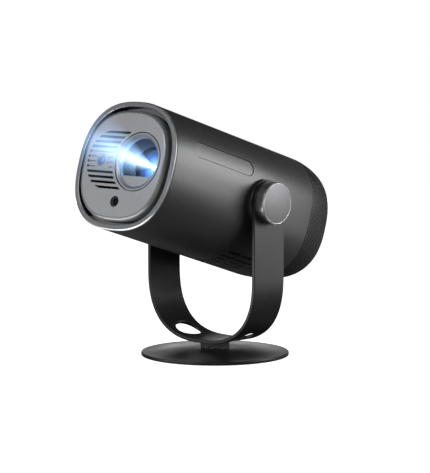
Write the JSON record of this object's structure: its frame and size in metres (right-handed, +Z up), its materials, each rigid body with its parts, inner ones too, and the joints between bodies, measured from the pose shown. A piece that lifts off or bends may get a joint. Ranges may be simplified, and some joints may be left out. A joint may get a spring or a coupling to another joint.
{
  "type": "home projector",
  "caption": "Barrel-shaped portable home projector that tilts in a U-shaped yoke and swivels on a round weighted base.",
  "frame": {"origin": "centre of the underside of the round base, where it rests on a table", "axes": "+Z up along the swivel axis, X along the tilt axis with +X on the lens's side of the barrel, and the lens faces -Y, tilted 17.5 degrees up at rest"},
  "size_m": [0.1348, 0.2207, 0.2095],
  "materials": {
    "body_satin": "satin dark graphite paint on moulded plastic",
    "inlay_satin": "satin graphite, a shade lighter than the shell",
    "bezel_gloss": "glossy dark frame with a bright rim",
    "panel_satin": "satin grey metallic paint",
    "hood_black": "matt black moulded plastic",
    "coated_glass": "coated lens glass with a blue cast",
    "ir_window": "dark infra-red window",
    "grille_black": "matt black perforated grille",
    "rear_plastic": "matt black fine-textured plastic",
    "button_plastic": "satin dark button",
    "yoke_paint": "satin black powder coat",
    "base_paint": "satin black paint",
    "rubber": "matt black foam rubber",
    "hub_plastic": "satin black plastic",
    "knob_chrome": "polished chrome",
    "knob_satin": "satin grey disc, finely turned",
    "steel": "zinc-plated steel",
    "dark_steel": "black oxide steel",
    "bearing_plastic": "natural acetal",
    "aluminium": "extruded aluminium",
    "brass": "brass",
    "inner_plastic": "black glass-filled plastic",
    "clear_optic": "clear optical plastic",
    "lcd_dark": "dark liquid-crystal panel",
    "fan_plastic": "black plastic",
    "board_green": "green solder mask",
    "port_metal": "nickel-plated steel shells with black inserts",
    "cable_jacket": "red wire insulation and a pale ribbon"
  },
  "bodies": {
    "base": {"base_disc": "base_paint", "foot_pad": "rubber", "thrust_washer": "bearing_plastic"},
    "yoke": {"yoke_band": "yoke_paint", "swivel_hub": "hub_plastic", "swivel_spring_washer": "steel", "swivel_retainer": "steel", "swivel_screw": "steel", "hinge_bushes": "bearing_plastic", "right_knob_shell": "knob_chrome", "left_knob_shell": "knob_chrome", "right_knob_face": "knob_satin", "left_knob_face": "knob_satin"},
    "barrel": {"main_shell": "body_satin", "front_bezel": "bezel_gloss", "front_panel": "panel_satin", "lens_trim_ring": "panel_satin", "lens_hood": "hood_black", "camera_bezel": "hood_black", "camera_lens": "coated_glass", "camera_board": "board_green", "ir_window": "ir_window", "side_inlay": "inlay_satin", "rear_grille": "grille_black", "rear_panel": "rear_plastic", "rear_panel_screws": "dark_steel", "power_switch": "board_green", "tilt_shafts": "steel", "right_spacer_disc": "hub_plastic", "left_spacer_disc": "hub_plastic", "hinge_washers": "steel", "lock_nuts": "steel", "hinge_screws": "dark_steel", "engine_frame": "inner_plastic", "rear_chassis": "inner_plastic", "chassis_screws": "dark_steel", "lens_mount": "inner_plastic", "focus_bracket": "aluminium", "focus_motor": "steel", "engine_housing": "inner_plastic", "field_fresnel": "clear_optic", "lcd_panel": "lcd_dark", "collimating_fresnel": "clear_optic", "condenser_lens": "clear_optic", "led_board": "aluminium", "led_heatsink": "aluminium", "fan_frame": "hood_black", "main_board": "board_green", "soc_heatsink": "aluminium", "io_board": "board_green", "port_sockets": "port_metal", "audio_jack": "hood_black", "speakers": "fan_plastic", "internal_cables": "cable_jacket"},
    "power_button": {"power_button": "button_plastic"},
    "fan_rotor": {"fan_rotor": "fan_plastic"},
    "focus_ring": {"focus_ring": "bearing_plastic"},
    "focus_pinion": {"focus_pinion": "brass"},
    "lens_cell": {"lens_cell": "hood_black", "projection_lenses": "coated_glass"}
  },
  "joints": [
    {"name": "swivel", "type": "hinge", "parent": "base", "child": "yoke", "pos_m": [0, 0, 0.007], "axis": [0, 0, 1], "continuous": true},
    {"name": "tilt", "type": "hinge", "parent": "yoke", "child": "barrel", "pos_m": [0, 0, 0.1278], "axis": [-1, 0, 0], "range_deg": [-67.5, 72.5]},
    {"name": "power_press", "type": "slide", "parent": "barrel", "child": "power_button", "axis": [0, -0.9537, 0.3007], "range_m": [0, 0.001], "stiffness_N_per_m": 300},
    {"name": "fan_spin", "type": "hinge", "parent": "barrel", "child": "fan_rotor", "pos_m": [0.0154, 0.04569, 0.11707], "axis": [0, -0.9537, 0.3007], "continuous": true},
    {"name": "focus_turn", "type": "hinge", "parent": "barrel", "child": "focus_ring", "pos_m": [0.0154, -0.06571, 0.15219], "axis": [0, -0.9537, 0.3007], "range_deg": [-40, 40]},
    {"name": "focus_pinion_spin", "type": "hinge", "parent": "barrel", "child": "focus_pinion", "pos_m": [-0.01081, -0.07123, 0.13468], "axis": [0, -0.9537, 0.3007], "range_deg": [-165, 165]},
    {"name": "focus_slide", "type": "slide", "parent": "barrel", "child": "lens_cell", "axis": [0, -0.9537, 0.3007], "range_m": [-0.0021, 0.0021]}
  ],
  "couplings": [
    {"joint": "focus_pinion_spin", "follows": "focus_turn", "ratio": -4},
    {"joint": "focus_slide", "follows": "focus_turn", "m_per_rad": 0.0028648}
  ]
}
